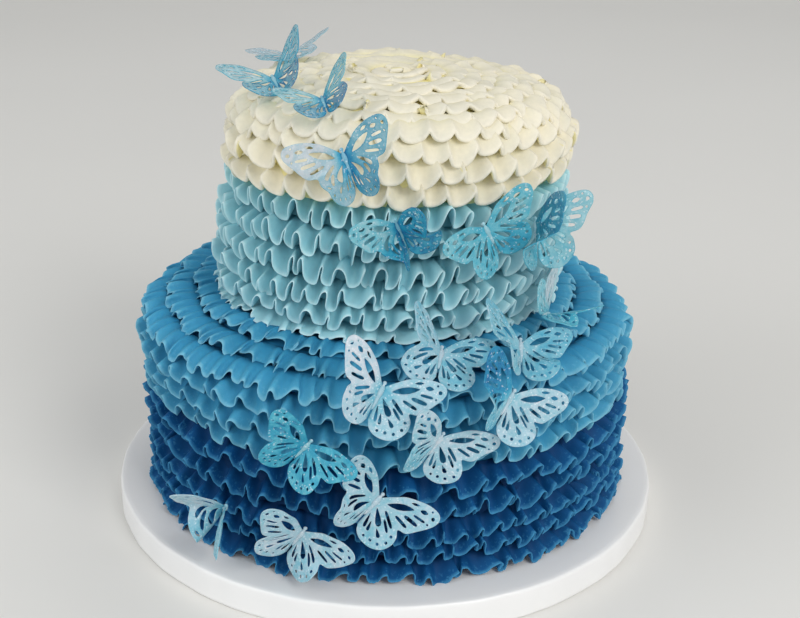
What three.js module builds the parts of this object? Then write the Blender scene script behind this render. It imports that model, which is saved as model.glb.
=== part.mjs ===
// A two-tier buttercream cake on a round foil-covered drum, with cut-out
// butterflies pressed into the icing. Millimetres, +Z up, the front is -Y.
// The origin is the centre of the drum's underside.
import * as THREE from 'three';

// ---- driving dimensions -------------------------------------------------
const DRUM_R = 140;          // round drum under the cake
const DRUM_H = 15;
const DRUM_EDGE = 2.2;       // rounded edge of the drum
const DRUM_SIDES = 52;

const GAP = 0.3;             // clearance between neighbouring solids

const LOWER_R = 124;         // outermost icing of the lower tier
const LOWER_ROOT_R = 115.5;  // where the ruffles grow from the lower tier
const LOWER_TOP = 112;       // flat top of the lower tier under its ruffles
const LOWER_FLUTES = 44;     // folds round one ruffle of the lower tier
const DEEP_TOP = 70;         // where the darkest icing ends

const UPPER_R = 86.6;        // outermost icing of the upper tier
const UPPER_SHIFT = 2.6;     // the upper tier stands a little right of the lower one's middle
const UPPER_ROOT_R = 78.6;
const TEAL_TOP = 178;        // where the teal icing ends
const TEAL_FLUTES = 38;

const CREAM_PETALS = 40;     // petals round one row on the cream side
const CREAM_TOP = 217;       // flat core of the cream top under its petals
const PETAL_WIDTH = 13.5;    // one petal along its row

const WING_T = 0.8;          // wafer wings
const BODY_T = 1.5;          // raised body of a butterfly

const COLORS = {
  foil: 0xe9e9ea, deep: 0x0e4a86, mid: 0x3f8fc0, teal: 0x78b4c4, cream: 0xefebd6,
  pale: 0xcfe3ee, blue: 0x6db3d3, bright: 0x3d9fd0,
};

const group = new THREE.Group();
const add = (name, geometry, color, roughness = 0.6) => {
  const mesh = new THREE.Mesh(geometry, new THREE.MeshStandardMaterial({ color, roughness, metalness: 0 }));
  mesh.name = name;
  group.add(mesh);
  return mesh;
};

// A repeatable number from 0 to 1 for uneven hand piping.
const noise = (a, b = 0) => {
  const s = Math.sin(a * 127.1 + b * 311.7 + 17.3) * 43758.5453;
  return s - Math.floor(s);
};

// ---- rings: every icing band is a stack of rings joined into one body ----
// A plain ring of n points.
const plainRing = (r, z, n, turn = 0) => {
  const out = [];
  for (let i = 0; i < n; i++) {
    const a = ((i + turn) / n) * Math.PI * 2;
    out.push([r * Math.cos(a), r * Math.sin(a), z, a]);
  }
  return out;
};

// The free edge of a piped ruffle: it swings out and in, up and down, once per fold.
const ruffleRing = (r, z, folds, row, swing, lift) => {
  const out = [];
  const n = folds * 2;
  for (let i = 0; i < n; i++) {
    const crest = i % 2;
    const jitter = (noise(i, row) - 0.5) * 0.5;
    const a = ((i + jitter + row * 0.7) / n) * Math.PI * 2;
    const deep = 0.6 + 0.4 * noise(i, row + 50);
    const rr = r - (crest ? 0 : swing * deep);
    const zz = z + (crest ? lift : -lift) * (0.5 + 0.5 * noise(i, row + 90));
    out.push([rr * Math.cos(a), rr * Math.sin(a), zz, a]);
  }
  return out;
};

// The free edge of a row of petals: broad rounded tips and sharp notches between them.
const petalRing = (r, z, petals, row, notch, drop) => {
  const out = [];
  const n = petals * 2;
  for (let i = 0; i < n; i++) {
    const tip = i % 2;
    const a = ((i + (row % 2) + (noise(i, row) - 0.5) * 0.3) / n) * Math.PI * 2;
    const rr = r - (tip ? 0 : notch);
    const zz = z + (tip ? 0 : drop) + (noise(i, row + 30) - 0.5) * 0.8;
    out.push([rr * Math.cos(a), rr * Math.sin(a), zz, a]);
  }
  return out;
};

// Joins two closed rings of any two point counts with triangles, going round by angle.
const joinRings = (lower, upper, index, tris) => {
  const turned = (ring) => ring.map((p) => p[3] - ring[0][3]);
  const nA = lower.length;
  const nB = upper.length;
  // start the second ring at its point nearest to the first ring's start
  let s = 0;
  let best = Infinity;
  upper.forEach((p, k) => {
    const d = Math.abs(Math.atan2(Math.sin(p[3] - lower[0][3]), Math.cos(p[3] - lower[0][3])));
    if (d < best) { best = d; s = k; }
  });
  const B = upper.slice(s).concat(upper.slice(0, s));
  const aA = turned(lower).concat([Math.PI * 2]);
  const off = Math.atan2(Math.sin(B[0][3] - lower[0][3]), Math.cos(B[0][3] - lower[0][3]));
  const aB = B.map((p, k) => {
    let d = p[3] - B[0][3];
    while (d < -1e-9) d += Math.PI * 2;
    return d + off;
  }).concat([Math.PI * 2 + off]);
  let i = 0;
  let j = 0;
  while (i < nA || j < nB) {
    const iA = index.get(lower[i % nA]);
    const jB = index.get(B[j % nB]);
    if (j >= nB || (i < nA && aA[i + 1] + aA[i] <= aB[j + 1] + aB[j])) {
      tris.push(iA, index.get(lower[(i + 1) % nA]), jB);
      i++;
    } else {
      tris.push(iA, index.get(B[(j + 1) % nB]), jB);
      j++;
    }
  }
};

// A closed body from rings listed from the bottom centre, out, up and in to the top centre.
const stackBody = (rings, zBottom, zTop) => {
  const points = [];
  const index = new Map();
  const take = (p) => { index.set(p, points.length); points.push(p); return points.length - 1; };
  rings.forEach((ring) => ring.forEach(take));
  const low = take([0, 0, zBottom, 0]);
  const high = take([0, 0, zTop, 0]);
  const tris = [];
  const first = rings[0];
  first.forEach((p, k) => tris.push(index.get(first[(k + 1) % first.length]), index.get(p), low));
  for (let k = 0; k + 1 < rings.length; k++) joinRings(rings[k], rings[k + 1], index, tris);
  const last = rings[rings.length - 1];
  last.forEach((p, k) => tris.push(index.get(p), index.get(last[(k + 1) % last.length]), high));
  const g = new THREE.BufferGeometry();
  g.setAttribute('position', new THREE.Float32BufferAttribute(points.flatMap((p) => [p[0], p[1], p[2]]), 3));
  g.setIndex(tris);
  return g;
};

// ---- the drum -------------------------------------------------------------
{
  const e = DRUM_EDGE;
  const profile = [
    [0, 0], [DRUM_R - e * 0.6, 0], [DRUM_R, e * 0.6], [DRUM_R, DRUM_H - e], [DRUM_R - e * 0.3, DRUM_H - e * 0.3],
    [DRUM_R - e, DRUM_H], [0, DRUM_H],
  ].map(([r, z]) => new THREE.Vector2(r, z));
  const g = new THREE.LatheGeometry(profile, DRUM_SIDES);
  g.rotateX(Math.PI / 2);
  add('drum', g, COLORS.foil, 0.45);
}

// ---- the lower tier: darkest icing below ----------------------------------
const LOWER_BASE = DRUM_H + GAP;
const DEEP_EDGES = [[124, 17.2], [123, 27.6], [123, 36.6], [123, 49.2], [123, 62.2]]; // free edges: radius, height
{
  const rings = [plainRing(LOWER_ROOT_R, LOWER_BASE, LOWER_FLUTES)];
  DEEP_EDGES.forEach(([r, z], k) => {
    rings.push(ruffleRing(r, z, LOWER_FLUTES, k, 3.0, k ? 2.2 : 1.0));
    const root = k === DEEP_EDGES.length - 1 ? DEEP_TOP : DEEP_EDGES[k + 1][1] - 1.6;
    rings.push(plainRing(LOWER_ROOT_R - 0.8, root, LOWER_FLUTES, 0.5 * (k % 2)));
  });
  add('lower_tier_deep_blue', stackBody(rings, LOWER_BASE, DEEP_TOP), COLORS.deep);
}

// ---- the lower tier: middle blue over the side, the rim and the top --------
const MID_BASE = DEEP_TOP + GAP;
const MID_SIDE = [[123.4, 72.6], [123.5, 83.6], [123.8, 94.2]]; // free edges on the side: radius, height
const MID_RIM = [122.6, 105.6];              // edge of the ruffle on the rim
const MID_TOP_EDGES = [[109.6, 113.6], [96.4, 116.6]]; // edges on the top, from outside
{
  const rings = [plainRing(LOWER_ROOT_R, MID_BASE, LOWER_FLUTES)];
  MID_SIDE.forEach(([r, z], k) => {
    rings.push(ruffleRing(r, z, LOWER_FLUTES, 10 + k, 3.0, k ? 2.2 : 1.6));
    const next = k + 1 < MID_SIDE.length ? MID_SIDE[k + 1][1] : MID_RIM[1];
    rings.push(plainRing(LOWER_ROOT_R, next - 1.6, LOWER_FLUTES, 0.5 * (k % 2)));
  });
  rings.push(ruffleRing(MID_RIM[0], MID_RIM[1], LOWER_FLUTES, 20, 2.6, 2.0));
  rings.push(plainRing(107.6, 110.6, LOWER_FLUTES));
  MID_TOP_EDGES.forEach(([r, z], k) => {
    const folds = Math.round(LOWER_FLUTES * (r / LOWER_R));
    rings.push(ruffleRing(r, z, folds, 21 + k, 2.6, 1.6));
    rings.push(plainRing(r - 11, 112.6, folds, 0.5 * (k % 2)));
  });
  rings.push(plainRing(82, LOWER_TOP, 28));
  add('lower_tier_mid_blue', stackBody(rings, MID_BASE, LOWER_TOP), COLORS.mid);
}

// ---- the upper tier: teal icing below --------------------------------------
const UPPER_BASE = LOWER_TOP + GAP;
const TEAL_IN = [0.6, 0, 0, 0.4, 1.2, 2.2];                       // how far each edge stands in
const TEAL_EDGES = [119.6, 126.4, 135.2, 146.2, 158.4, 170.4]; // heights of the free edges
{
  const rings = [plainRing(UPPER_ROOT_R - 1.5, UPPER_BASE, TEAL_FLUTES)];
  TEAL_EDGES.forEach((z, k) => {
    const next = k + 1 < TEAL_EDGES.length ? TEAL_EDGES[k + 1] - 1.2 : TEAL_TOP;
    rings.push(ruffleRing(UPPER_R - TEAL_IN[k], z, TEAL_FLUTES, 40 + k, 3.0, k ? 2.2 : 0.9));
    rings.push(plainRing(UPPER_ROOT_R, next, TEAL_FLUTES, 0.5 * (k % 2)));
  });
  add('upper_tier_teal', stackBody(rings, UPPER_BASE, TEAL_TOP), COLORS.teal).position.x = UPPER_SHIFT;
}

// ---- the upper tier: cream petals over the side and the top -----------------
const CREAM_BASE = TEAL_TOP + GAP;
const CREAM_SIDE = [[UPPER_R - 1, 180.2], [UPPER_R, 191.2], [UPPER_R - 0.4, 201.6], [UPPER_R - 2.6, 209.4]];
const CREAM_TOP_EDGES = [[77, 217.6], [65.5, 219.2], [54, 219.8], [42.5, 220], [31, 220.2], [19.5, 220.4]];
{
  const rings = [plainRing(UPPER_ROOT_R + 0.6, CREAM_BASE, CREAM_PETALS)];
  CREAM_SIDE.forEach(([r, z], k) => {
    rings.push(petalRing(r, z, CREAM_PETALS, k, 2.6, 2.6));
    const last = k === CREAM_SIDE.length - 1;
    const next = last ? [73, CREAM_TOP - 2.4] : [UPPER_ROOT_R + 1, CREAM_SIDE[k + 1][1] - 0.6];
    rings.push(plainRing(next[0], next[1], CREAM_PETALS, 0.5 * (k % 2)));
  });
  CREAM_TOP_EDGES.forEach(([r, z], k) => {
    const petals = Math.round((2 * Math.PI * r) / PETAL_WIDTH);
    rings.push(petalRing(r, z, petals, 10 + k, 2.4, -0.9));
    rings.push(plainRing(r - 9.5, CREAM_TOP + (k > 1 ? 0.6 : 0), petals, 0.5 * (k % 2)));
  });
  rings.push(petalRing(6.2, 221, 4, 20, 1.2, -0.4));
  add('upper_tier_cream', stackBody(rings, CREAM_BASE, 221.6), COLORS.cream).position.x = UPPER_SHIFT;
}

// ---- butterflies -------------------------------------------------------------
// One half of the outline, x from the body's axis, y towards the head: a long
// forewing and a round hindwing. The other half is its mirror.
const FORE_SPAN = 24.6;
const HIND_SPAN = 17.0;
const OUTLINE = [
  [0.7, 1.2], [0.36 * FORE_SPAN, 8.9], [0.63 * FORE_SPAN, 12.1], [0.955 * FORE_SPAN, 12.2],
  [FORE_SPAN, 8.1], [0.83 * FORE_SPAN, 0.2], [14.4, -4.4], [HIND_SPAN, -9.3],
  [0.89 * HIND_SPAN, -15.2], [0.54 * HIND_SPAN, -18.4], [0.16 * HIND_SPAN, -17.0], [0.5, -13.6],
];
// The edge of the raised body, from the tail to the head, and the ridge along its middle.
const BODY_EDGE = [[1.0, -9], [1.2, -5], [1.1, -1]];
const RIDGE = [[-13.6, 0.3], [-9, 0.8], [-5, 1], [-1, 1], [1.9, 0.7]]; // y, part of the body's height

const smoothStep = (t) => { const c = Math.min(1, Math.max(0, t)); return c * c * (3 - 2 * c); };

// The wings bend up along the body: the forewings by one angle, the hindwings by another.
const butterfly = (foreL, foreR, hindL, hindR, scale) => {
  const rad = Math.PI / 180;
  const angle = (side, y) => {
    const f = (side < 0 ? foreL : foreR) * rad;
    const h = (side < 0 ? hindL : hindR) * rad;
    return f + (h - f) * smoothStep((y + 3) / -7);
  };
  const points = [];
  const tris = [];
  const put = (x, y, z) => { points.push(x * scale, y * scale, z * scale); return points.length / 3 - 1; };
  const n = OUTLINE.length;
  const contour = OUTLINE.concat(BODY_EDGE).map(([x, y]) => new THREE.Vector2(x, y));
  const faces = THREE.ShapeUtils.triangulateShape(contour, []);
  const half = {};
  for (const side of [-1, 1]) {
    for (const level of [-1, 1]) {
      half[`${side}${level}`] = contour.map(({ x, y }) => {
        const a = angle(side, y);
        const t = (level * WING_T) / 2;
        return put(side * (x * Math.cos(a) - t * Math.sin(a)), y, x * Math.sin(a) + t * Math.cos(a));
      });
    }
  }
  const ridge = {};
  for (const level of [-1, 1]) {
    ridge[level] = RIDGE.map(([y, h]) => put(0, y, level > 0 ? WING_T / 2 + BODY_T * h : -WING_T / 2 - 0.25 * h));
  }
  const tri = (a, b, c, flip) => (flip ? tris.push(a, c, b) : tris.push(a, b, c));
  for (const side of [-1, 1]) {
    for (const level of [-1, 1]) {
      const v = half[`${side}${level}`];
      const flip = side * level < 0;
      faces.forEach(([a, b, c]) => {
        const A = contour[a]; const B = contour[b]; const C = contour[c];
        const turn = (B.x - A.x) * (C.y - A.y) - (B.y - A.y) * (C.x - A.x) < 0;
        tri(v[a], v[b], v[c], flip !== turn);
      });
      // between the edge of the body and the ridge, from the tail to the head
      const edge = [v[n - 1], ...BODY_EDGE.map((_, k) => v[n + k]), v[0]];
      for (let k = 0; k + 1 < edge.length; k++) {
        tri(ridge[level][k], edge[k], edge[k + 1], flip);
        tri(ridge[level][k], edge[k + 1], ridge[level][k + 1], flip);
      }
    }
    // the thin side of the wing
    const up = half[`${side}1`];
    const dn = half[`${side}-1`];
    for (let k = 0; k + 1 < n; k++) {
      tri(up[k], up[k + 1], dn[k], side < 0);
      tri(dn[k], up[k + 1], dn[k + 1], side < 0);
    }
    // the two ends of the body
    tri(up[n - 1], ridge[1][0], dn[n - 1], side < 0);
    tri(dn[n - 1], ridge[1][0], ridge[-1][0], side < 0);
    const m = RIDGE.length - 1;
    tri(ridge[1][m], up[0], ridge[-1][m], side < 0);
    tri(ridge[-1][m], up[0], dn[0], side < 0);
  }
  const g = new THREE.BufferGeometry();
  g.setAttribute('position', new THREE.Float32BufferAttribute(points, 3));
  g.setIndex(tris);
  return g;
};

// Place, turn (about x, y and z in degrees), wing angles (left and right forewing,
// left and right hindwing), size and colour.
const BUTTERFLIES = [
  [-54.2, -28.4, 223.5, 15.9, -20.5, 13.8, 29, 31, 34, 38, 1.01, 'blue'],
  [-53.3, 42.8, 220.2, -0.1, -13.3, -0.2, 19, 19, 19, 6, 0.95, 'pale'],
  [-29.8, -59.0, 221.6, 16.8, -22.3, 8.4, 26, 35, 26, 35, 0.85, 'blue'],
  [-19.2, -87.2, 204.5, 86.5, -21.1, 2.9, 29, 23, 57, 48, 1.03, 'pale'],
  [3.9, -91.0, 175.7, 101.6, -20.4, -2.4, 41, 47, 84, -2, 0.97, 'bright'],
  [42.5, -79.5, 171.0, 94.5, -31.8, 27.0, 23, 23, 30, 18, 1.05, 'blue'],
  [65.8, -62.9, 167.5, 74.5, 11.4, 51.8, 63, 50, 15, 35, 1.09, 'blue'],
  [24.1, -103.6, 122.2, 35.7, 25.3, 7.7, 29, 16, -9, 17, 0.97, 'pale'],
  [59.5, -91.8, 121.3, 37.2, 20.4, 13.8, 18, 8, 42, 31, 1.01, 'pale'],
  [74.4, -60.2, 123.2, -18.5, 25.3, -29.7, 55, 38, 55, 19, 0.99, 'blue'],
  [-1.1, -123.8, 113.7, 57.8, 29.8, -0.0, 23, 9, 34, 15, 1.04, 'pale'],
  [54.6, -114.3, 107.0, 71.9, 38.5, 16.4, 15, 11, 41, 26, 1.03, 'pale'],
  [24.2, -122.3, 90.0, 100.4, 30.6, 28.5, 23, 15, 25, 26, 1.0, 'pale'],
  [-32.6, -123.3, 86.2, 95.3, 38.5, -8.4, 30, 27, 34, 34, 1.02, 'blue'],
  [-1.7, -127.1, 62.4, 83.4, 40.2, -0.4, 15, 15, 37, 18, 1.05, 'pale'],
  [-35.3, -122.2, 41.7, 100.2, 31.2, -3.9, 35, 27, 29, 38, 1.06, 'pale'],
  [-70.6, -111.5, 47.3, 113.7, 42.6, -36.5, 48, 52, 109, 37, 1.06, 'pale'],
];
BUTTERFLIES.forEach(([x, y, z, rx, ry, rz, fl, fr, hl, hr, size, tone], k) => {
  const mesh = add(`butterfly_${String(k + 1).padStart(2, '0')}`, butterfly(fl, fr, hl, hr, size), COLORS[tone], 0.4);
  const rad = Math.PI / 180;
  mesh.position.set(x, y, z);
  mesh.rotation.set(rx * rad, ry * rad, rz * rad, 'ZYX');
});

export default group;
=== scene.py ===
import math

import bpy
import numpy as np
from mathutils import Matrix, Vector
from mathutils.geometry import delaunay_2d_cdt


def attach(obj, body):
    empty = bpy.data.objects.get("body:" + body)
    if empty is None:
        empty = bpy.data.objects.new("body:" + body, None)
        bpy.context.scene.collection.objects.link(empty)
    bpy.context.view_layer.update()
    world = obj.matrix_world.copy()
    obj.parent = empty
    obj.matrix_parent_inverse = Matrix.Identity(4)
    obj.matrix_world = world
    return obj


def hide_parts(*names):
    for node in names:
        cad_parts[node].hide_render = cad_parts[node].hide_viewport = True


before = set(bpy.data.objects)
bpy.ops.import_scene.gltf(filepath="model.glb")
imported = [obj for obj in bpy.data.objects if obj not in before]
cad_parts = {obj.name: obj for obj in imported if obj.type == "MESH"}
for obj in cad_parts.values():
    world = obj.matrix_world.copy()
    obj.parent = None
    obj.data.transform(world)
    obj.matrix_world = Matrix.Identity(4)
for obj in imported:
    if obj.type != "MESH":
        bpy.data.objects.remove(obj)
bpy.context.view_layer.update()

MM = 0.001
TAU = 2.0 * math.pi
scene = bpy.context.scene

# ---------------------------------------------------------------- camera

PITCH = math.radians(22.28)
cam_data = bpy.data.cameras.new("camera")
cam_data.sensor_width = 36.0
cam_data.lens = 58.5
cam_data.clip_start = 0.02
cam_data.clip_end = 30.0
cam = bpy.data.objects.new("camera", cam_data)
scene.collection.objects.link(cam)
cam.matrix_world = (
    Matrix.Translation((0.00587, -0.6182, 0.3528))
    @ Matrix.Rotation(math.pi / 2 - PITCH, 4, "X")
    @ Matrix.Rotation(0.021, 4, "Z")
)
scene.camera = cam

# ---------------------------------------------------------------- meshes


def make_object(name, verts, faces, attrs=None, smooth=True, material=None):
    """verts in millimetres, (n, 3); faces a list of index arrays, each (m, 3) or (m, 4)."""
    verts = np.asarray(verts, float)
    me = bpy.data.meshes.new(name)
    me.vertices.add(len(verts))
    me.vertices.foreach_set("co", (verts * MM).astype(np.float32).ravel())
    loops = np.concatenate([np.asarray(f).ravel() for f in faces]).astype(np.int32)
    sizes = np.concatenate([np.full(len(f), np.asarray(f).shape[1]) for f in faces])
    starts = np.concatenate([[0], np.cumsum(sizes)[:-1]]).astype(np.int32)
    me.loops.add(len(loops))
    me.loops.foreach_set("vertex_index", loops)
    me.polygons.add(len(sizes))
    me.polygons.foreach_set("loop_start", starts)
    me.update(calc_edges=True)
    me.validate()
    if smooth:
        me.polygons.foreach_set("use_smooth", np.ones(len(me.polygons), bool))
    for key, values in (attrs or {}).items():
        a = me.attributes.new(key, "FLOAT", "POINT")
        a.data.foreach_set("value", np.asarray(values, np.float32))
    me.update()
    o = bpy.data.objects.new(name, me)
    scene.collection.objects.link(o)
    if material:
        me.materials.append(material)
    return o


class Pile:
    """Collects the shells of one piece."""

    def __init__(self):
        self.verts, self.faces, self.attrs, self.count = [], [], {}, 0

    def add(self, verts, quads, **attrs):
        self.verts.append(np.array(verts, float))
        self.faces.append(np.asarray(quads) + self.count)
        for k, v in attrs.items():
            self.attrs.setdefault(k, []).append(
                np.broadcast_to(np.asarray(v, float), (len(verts),))
            )
        self.count += len(verts)

    def shift(self, heights, dx):
        for v in self.verts:
            v[:, 0] += np.interp(v[:, 2], heights, dx)

    def build(self, name, material, fit=None):
        verts = np.concatenate(self.verts)
        return make_object(
            name,
            verts if fit is None else fit(verts),
            self.faces,
            {k: np.concatenate(v) for k, v in self.attrs.items()},
            material=material,
        )


def wobble(rng, u, period, short, long):
    """Smooth variation along a closed row, about -1.5 to 1.5, with features short to long lobes apart."""
    lo = max(1, int(round(period / long)))
    hi = max(lo + 1, int(round(period / short)))
    k = np.arange(lo, hi + 1)
    amp = rng.normal(size=len(k))
    ph = rng.uniform(0, TAU, len(k))
    v = (amp[:, None] * np.cos(TAU * k[:, None] * u[None, :] / period + ph[:, None])).sum(0)
    return np.clip(v / (np.std(v) + 1e-9) * 0.75, -1.5, 1.5)


def arc(a, b, t):
    """Integral of (cos, sin) of an angle that goes evenly from a to b, from 0 to t."""
    d = b - a
    d = np.where(np.abs(d) < 1e-4, 1e-4, d)
    return (np.sin(a + d * t) - np.sin(a)) / d, (np.cos(a) - np.cos(a + d * t)) / d


def frill(
    pile,
    rng,
    radius,
    hang,
    lobes,
    low,
    high,
    cols=16,
    waist=0.05,
    wide=0.03,
    skew=0.16,
    uneven=0.17,
    swing=0.2,
    drift=1.0,
    lean=1.0,
    torn=0.0,
    thick=(1.3, 0.36),
    cusp=0.0,
    steps=(0.0, 0.28, 0.54, 0.76, 0.9, 0.965, 1.0),
    round_tip=1,
    slope=0.0,
    crowd=(0.13, -45),
    sway=0.5,
    phase=0.0,
):
    """One piped row round the cake. low and high are (slope at the root, slope at the edge, length) of the sheet
    where it hangs between two flutes and where it stands up as a flute, slopes in degrees above the horizontal.
    hang is the height of the edge where it hangs, slope how much lower the row lies on the right than on the left,
    crowd how much closer the flutes stand than elsewhere and round which side of the cake (degrees)."""
    u = np.arange(lobes * cols) / cols
    stretch = uneven * 0.8 * wobble(rng, u, lobes, 1.7, 6)
    stretch = stretch - crowd[0] * lobes / TAU * np.sin(TAU * u / lobes - math.radians(crowd[1]))
    local = 1 + (np.roll(stretch, -1) - np.roll(stretch, 1)) * cols / 2
    local = np.clip(local, 0.45, 2.2)
    pitch = TAU * radius / lobes
    wave = 0.5 - 0.5 * np.cos(TAU * u)
    across = np.abs(2 * ((u + 0.5) % 1.0) - 1)
    scoop = 1 - np.sqrt(np.clip(1 - (across * 0.985) ** 2, 0, 1))
    w = wave * (1 - cusp) + scoop * cusp
    gain = 1 + swing * wobble(rng, u, lobes, 1.4, 5)
    mix = 0.5 + (w - 0.5) * gain * np.clip(local, 0.75, 1.35) ** 0.5
    tilt = np.radians(6) * wobble(rng, u, lobes, 2.5, 14)
    e0 = np.radians(low[0]) + np.radians(high[0] - low[0]) * mix + tilt * 0.5
    e1 = np.radians(low[1]) + np.radians(high[1] - low[1]) * mix + tilt
    length = low[2] + (high[2] - low[2]) * w
    length = length * (1 + 0.09 * wobble(rng, u, lobes, 1.5, 8)) * np.clip(local, 0.7, 1.5) ** 0.25
    if torn:
        length = length + torn * rng.normal(size=len(u)).clip(-2, 2)
    fall = float(arc(np.radians(low[0]), np.radians(low[1]), 1.0)[1]) * low[2]
    zr = hang - fall + drift * wobble(rng, u, lobes, 7, 40) - slope * 0.5 * np.cos(TAU * u / lobes)
    rr = radius + sway * drift * wobble(rng, u, lobes, 5, 30)
    side = waist * np.sin(2 * TAU * u) + wide * np.sin(TAU * u) + skew * wave * (1 + 0.5 * wobble(rng, u, lobes, 1.6, 6))
    side = side * pitch * local
    side = side + lean * wobble(rng, u, lobes, 1.6, 5) + 0.6 * lean * wobble(rng, u, lobes, 8, 30)

    t = np.asarray(steps)[None, :]
    dr, dz = arc(e0[:, None], e1[:, None], t)
    r = rr[:, None] + length[:, None] * dr
    z = zr[:, None] + length[:, None] * dz
    th = (TAU * (u + phase + stretch) / lobes)[:, None] + side[:, None] * t**1.2 / radius
    top = np.stack([r * np.cos(th), r * np.sin(th), z], -1)

    du = np.roll(top, -1, 0) - np.roll(top, 1, 0)
    dt = np.gradient(top, axis=1)
    n = np.cross(du, dt)
    n /= np.linalg.norm(n, axis=-1, keepdims=True) + 1e-9
    up = np.stack([np.cos(th) * 0.6, np.sin(th) * 0.6, np.full_like(th, 0.8)], -1)
    if (n * up).sum(-1).mean() < 0:
        n = -n
    th_mm = thick[0] + (thick[1] - thick[0]) * t[..., None]
    below = top - n * th_mm
    edge_dir = dt[:, -1] / (np.linalg.norm(dt[:, -1], axis=-1, keepdims=True) + 1e-9)

    rows = [top[:, j] for j in range(top.shape[1])]
    mark = [float(v) for v in steps]
    under = [0.0] * len(steps)
    for k in range(1, round_tip + 1):
        a = math.pi * k / (round_tip + 1)
        half = thick[1] / 2
        mid = (top[:, -1] + below[:, -1]) / 2
        rows.append(mid + n[:, -1] * half * math.cos(a) + edge_dir * half * math.sin(a))
        mark.append(1.0)
        under.append(0.0)
    for j in (len(steps) - 1, len(steps) - 3, 1, 0):
        rows.append(below[:, j])
        mark.append(float(steps[j]) * 0.98)
        under.append(1.0)
    grid = np.stack(rows, 1)
    nu, nt = grid.shape[:2]
    i = np.arange(nu)[:, None]
    j = np.arange(nt)[None, :]
    a = i * nt + j
    b = ((i + 1) % nu) * nt + j
    c = ((i + 1) % nu) * nt + (j + 1) % nt
    d = i * nt + (j + 1) % nt
    quads = np.stack([a, b, c, d], -1).reshape(-1, 4)
    # the outer side faces out
    p = grid.reshape(-1, 3)
    q = quads[::nt]
    fn = np.cross(p[q[:, 1]] - p[q[:, 0]], p[q[:, 3]] - p[q[:, 0]])
    if (fn * n[:, 0]).sum() < 0:
        quads = quads[:, ::-1]
    # the edge and under marks drive the icing colour: painted shade at the roots and on the undersides, painted light
    # at the thin edges
    pile.add(
        p,
        quads,
        edge=np.tile(mark, (nu, 1)).ravel(),
        under=np.tile(under, (nu, 1)).ravel(),
    )
    return pile


def turned(pile, profile, segments, mark=0.0, rough=0.0, rng=None):
    """A solid of revolution from (radius, height) points that begin and end on the axis."""
    prof = np.asarray(profile, float)
    inner = prof[1:-1]
    th = TAU * np.arange(segments) / segments
    r = inner[None, :, 0] + 0 * th[:, None]
    z = inner[None, :, 1] + 0 * th[:, None]
    if rough:
        for k in range(len(inner)):
            r[:, k] += rough * wobble(rng, th / TAU * 40, 40, 2, 12)
    p = np.stack([r * np.cos(th)[:, None], r * np.sin(th)[:, None], z], -1)
    nt = len(inner)
    v = np.concatenate([p.reshape(-1, 3), [[0, 0, prof[0, 1]], [0, 0, prof[-1, 1]]]])
    i = np.arange(segments)[:, None]
    j = np.arange(nt - 1)[None, :]
    a = i * nt + j
    b = ((i + 1) % segments) * nt + j
    quads = np.stack([a, b, b + 1, a + 1], -1).reshape(-1, 4)
    lo, hi = segments * nt, segments * nt + 1
    i = np.arange(segments)
    nxt = (i + 1) % segments
    # caps as quads with a doubled corner are avoided: pairs of segments share one quad
    i2 = np.arange(0, segments, 2)
    n1, n2 = (i2 + 1) % segments, (i2 + 2) % segments
    cap_lo = np.stack([np.full(len(i2), lo), n2 * nt, n1 * nt, i2 * nt], -1)
    cap_hi = np.stack([np.full(len(i2), hi), i2 * nt + nt - 1, n1 * nt + nt - 1, n2 * nt + nt - 1], -1)
    # a core (mark 0) takes the root colour and counts as an underside, so it carries the icing's painted shade
    pile.add(v, np.concatenate([quads, cap_lo, cap_hi]), edge=mark, under=1.0 if mark == 0.0 else 0.0)
    return pile


# ---------------------------------------------------------------- materials


def srgb(r, g, b):
    def lin(c):
        c = c / 255.0
        return c / 12.92 if c <= 0.04045 else ((c + 0.055) / 1.055) ** 2.4

    return (lin(r), lin(g), lin(b), 1.0)


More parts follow.
